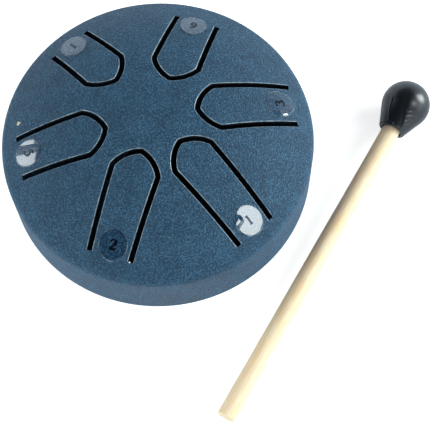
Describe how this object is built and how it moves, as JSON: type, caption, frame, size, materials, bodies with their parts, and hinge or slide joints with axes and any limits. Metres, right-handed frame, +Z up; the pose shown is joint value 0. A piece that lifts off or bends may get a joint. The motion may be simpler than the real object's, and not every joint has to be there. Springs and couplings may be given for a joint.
{
  "type": "steel tongue drum",
  "caption": "Small round steel tongue drum with slotted tongues in its domed top, clear number stickers, a sound hole below, rubber feet and a rubber-headed wooden mallet.",
  "frame": {"origin": "centre of the sound hole in the flat underside, at the underside's lower face within half a millimetre", "axes": "+Z up through the drum's axis to the dome, and the player sits on the -Y side, in front of tongue 1"},
  "size_m": [0.1098, 0.1034, 0.04],
  "materials": {
    "powder_coat": "fine-grained navy powder coat on pressed steel",
    "clear_film": "clear glossy film",
    "black_ink": "printed ink",
    "foot_rubber": "matt moulded rubber",
    "stick_wood": "plain sanded birch dowel",
    "head_rubber": "glossy black rubber"
  },
  "bodies": {
    "drum": {"top_shell": "powder_coat", "bottom_shell": "powder_coat", "foot_front": "foot_rubber", "foot_right": "foot_rubber", "foot_left": "foot_rubber"},
    "tongue_body_1": {"tongue_1": "powder_coat", "sticker_1": "clear_film", "numeral_1": "black_ink"},
    "tongue_body_2": {"tongue_2": "powder_coat", "sticker_2": "clear_film", "numeral_2": "black_ink"},
    "tongue_body_3": {"tongue_3": "powder_coat", "sticker_3": "clear_film", "numeral_3": "black_ink"},
    "tongue_body_5": {"tongue_5": "powder_coat", "sticker_5": "clear_film", "numeral_5": "black_ink"},
    "tongue_body_6": {"tongue_6": "powder_coat", "sticker_6": "clear_film", "numeral_6": "black_ink"},
    "tongue_body_high_1": {"tongue_high_1": "powder_coat", "sticker_high_1": "clear_film", "numeral_high_1": "black_ink"},
    "mallet": {"mallet_stick": "stick_wood", "mallet_head": "head_rubber"}
  },
  "joints": [
    {"name": "tongue_1_flex", "type": "hinge", "parent": "drum", "child": "tongue_body_1", "pos_m": [0.00023, -0.03648, 0.02688], "axis": [-1, -0.0052, 0], "range_deg": [-0.6, 0.6], "stiffness_Nm_per_rad": 2},
    {"name": "tongue_2_flex", "type": "hinge", "parent": "drum", "child": "tongue_body_2", "pos_m": [-0.03054, -0.0175, 0.02765], "axis": [-0.503, 0.8643, 0], "range_deg": [-0.6, 0.6], "stiffness_Nm_per_rad": 2},
    {"name": "tongue_3_flex", "type": "hinge", "parent": "drum", "child": "tongue_body_3", "pos_m": [0.0307, -0.01772, 0.02751], "axis": [-0.5105, -0.8599, 0], "range_deg": [-0.6, 0.6], "stiffness_Nm_per_rad": 2},
    {"name": "tongue_5_flex", "type": "hinge", "parent": "drum", "child": "tongue_body_5", "pos_m": [-0.03046, 0.0178, 0.02761], "axis": [0.5075, 0.8616, 0], "range_deg": [-0.6, 0.6], "stiffness_Nm_per_rad": 2},
    {"name": "tongue_6_flex", "type": "hinge", "parent": "drum", "child": "tongue_body_6", "pos_m": [0.02851, 0.01662, 0.02889], "axis": [0.5, -0.866, 0], "range_deg": [-0.6, 0.6], "stiffness_Nm_per_rad": 2},
    {"name": "tongue_high_1_flex", "type": "hinge", "parent": "drum", "child": "tongue_body_high_1", "pos_m": [-0.0004, 0.03428, 0.02819], "axis": [0.9999, 0.0105, 0], "range_deg": [-0.6, 0.6], "stiffness_Nm_per_rad": 2},
    {"name": "mallet_lift", "type": "slide", "parent": "drum", "child": "mallet", "axis": [0, 0, 1], "range_m": [0, 0.08]}
  ]
}
